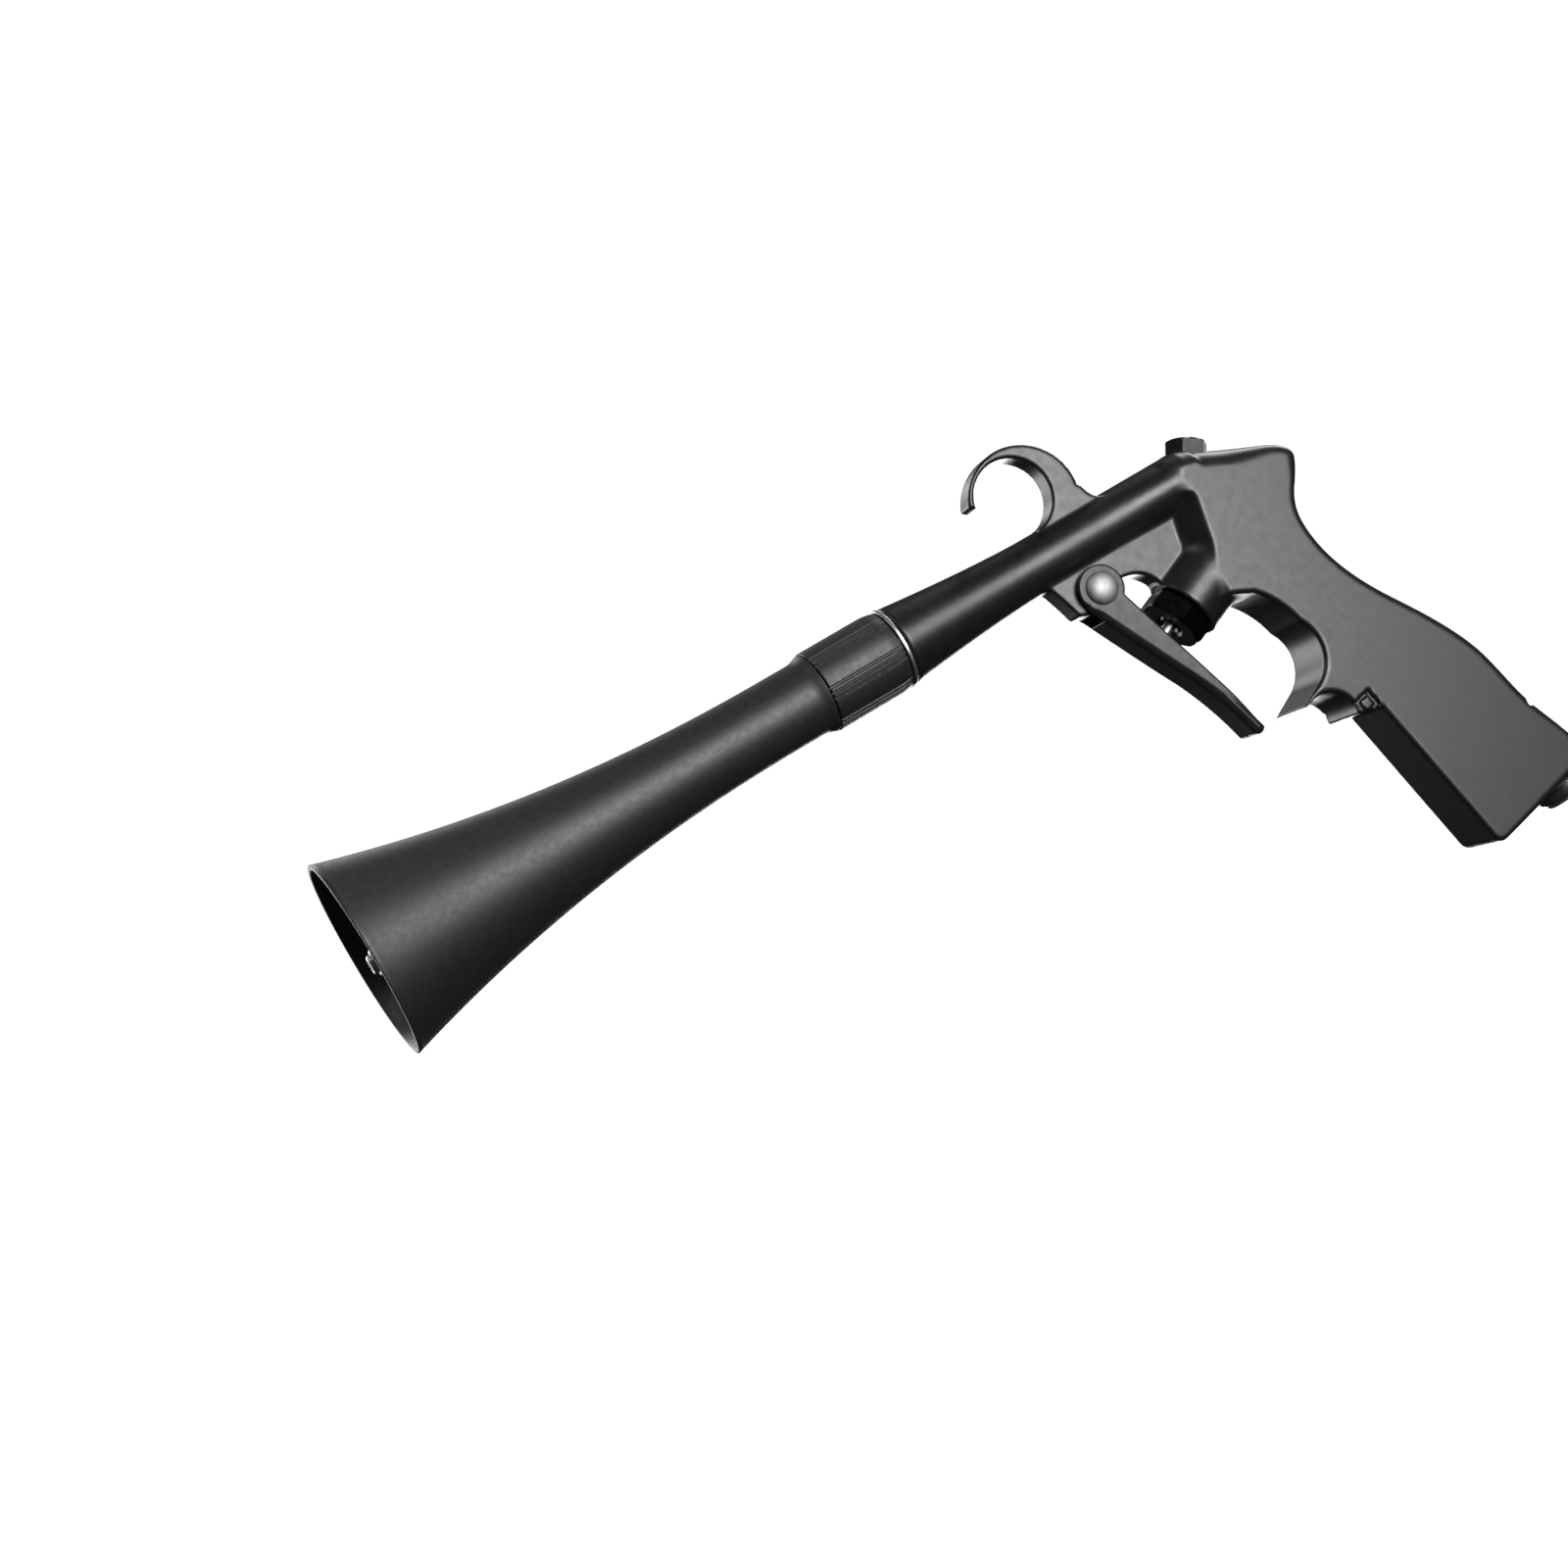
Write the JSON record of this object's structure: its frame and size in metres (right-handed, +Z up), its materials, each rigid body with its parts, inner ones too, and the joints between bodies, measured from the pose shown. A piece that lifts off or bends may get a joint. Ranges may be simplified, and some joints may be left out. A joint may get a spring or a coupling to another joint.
{
  "type": "air blow gun with a flared horn",
  "caption": "Pistol-grip air cleaning gun: flared horn with a spinning bent nozzle, ribbed collar, cast body with a hanging hook, pivoting trigger and sprung air valve.",
  "frame": {"origin": "centre of the hanging hook's eye, where a peg or rail holds the gun", "axes": "-X along the barrel towards the horn's mouth, so +X is the longest extent; +Z up out of the top of the barrel; Y across the gun, which is its thinnest direction and the normal of its near-mirror plane"},
  "size_m": [0.3029, 0.052, 0.156],
  "materials": {
    "horn_plastic": "matte",
    "black_plastic": "satin",
    "body_paint": "satin",
    "trigger_paint": "satin",
    "bright_steel": "polished",
    "dark_steel": "satin",
    "turned_aluminium": "satin",
    "nickel_fitting": "satin",
    "brass": "satin",
    "seal_rubber": "matte"
  },
  "bodies": {
    "gun": {"gun_body": "body_paint", "horn": "horn_plastic", "horn_collar": "horn_plastic", "seat_ring": "bright_steel", "nozzle_spigot": "turned_aluminium", "spigot_o_ring": "seal_rubber", "front_bearing_outer_race": "bright_steel", "rear_bearing_outer_race": "bright_steel", "bearing_spacer": "turned_aluminium", "bearing_retainer": "dark_steel", "pivot_pin": "bright_steel", "pivot_pin_cap": "bright_steel", "gland_nut": "dark_steel", "stem_packing": "seal_rubber", "valve_seat": "brass", "valve_spring": "bright_steel", "top_plug": "dark_steel", "top_plug_washer": "dark_steel", "inlet_washer": "seal_rubber", "inlet_collar": "black_plastic", "inlet_insert": "nickel_fitting"},
    "trigger": {"trigger": "trigger_paint"},
    "valve": {"valve_stem": "bright_steel", "valve_poppet": "brass", "poppet_seal": "seal_rubber"},
    "rotor": {"spinning_nozzle": "bright_steel", "nozzle_stop_ring": "brass", "nozzle_tip_weight": "brass", "front_bearing_inner_race": "bright_steel", "rear_bearing_inner_race": "bright_steel"},
    "front_cage": {"front_bearing_ball_cage": "bright_steel"},
    "rear_cage": {"rear_bearing_ball_cage": "bright_steel"}
  },
  "joints": [
    {"name": "trigger_pull", "type": "hinge", "parent": "gun", "child": "trigger", "pos_m": [0.0072, 0, -0.0315], "axis": [0, -1, 0], "range_deg": [0, 7.5], "stiffness_Nm_per_rad": 2, "springref_deg": -8.59},
    {"name": "valve_slide", "type": "slide", "parent": "gun", "child": "valve", "axis": [0.9323, 0, 0.3616], "range_m": [0, 0.0029], "deforming": ["valve_spring"]},
    {"name": "nozzle_spin", "type": "hinge", "parent": "gun", "child": "rotor", "pos_m": [-0.05, 0, -0.0177], "axis": [1, 0, 0], "continuous": true},
    {"name": "front_cage_spin", "type": "hinge", "parent": "gun", "child": "front_cage", "pos_m": [-0.0574, 0, -0.0177], "axis": [1, 0, 0], "continuous": true},
    {"name": "rear_cage_spin", "type": "hinge", "parent": "gun", "child": "rear_cage", "pos_m": [-0.0464, 0, -0.0177], "axis": [1, 0, 0], "continuous": true}
  ],
  "couplings": [
    {"joint": "valve_slide", "follows": "trigger_pull", "m_per_rad": 0.02117},
    {"joint": "front_cage_spin", "follows": "nozzle_spin", "ratio": 0.3875},
    {"joint": "rear_cage_spin", "follows": "nozzle_spin", "ratio": 0.3875}
  ]
}
